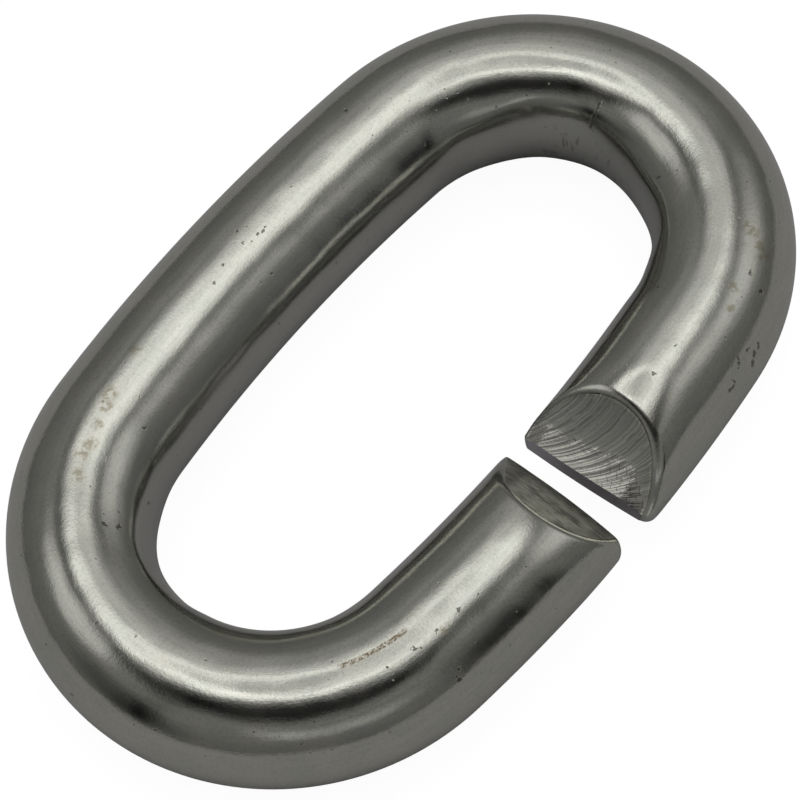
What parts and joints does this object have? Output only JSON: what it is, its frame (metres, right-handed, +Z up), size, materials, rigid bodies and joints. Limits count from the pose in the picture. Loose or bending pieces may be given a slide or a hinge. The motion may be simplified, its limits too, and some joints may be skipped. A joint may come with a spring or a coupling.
{
  "type": "open connecting link",
  "caption": "Open oval chain link bent from round steel rod, with a gap in a long side between chisel-bevelled ends; it joins chain ends and is then bent shut and welded.",
  "frame": {"origin": "bottom centre of the link lying flat: the middle of its outline seen from above, on the plane it rests on", "axes": "+X along the link's length, towards the bow on the side of the gap's square end; +Y across the link, towards the closed side, with the gap at -Y; +Z up, square to the plane of the link"},
  "size_m": [0.061, 0.0377, 0.01],
  "materials": {
    "steel": "drawn and tumbled stainless steel, between satin and polished, with freshly ground cut faces"
  },
  "bodies": {
    "root": {"link": "steel"}
  },
  "joints": []
}
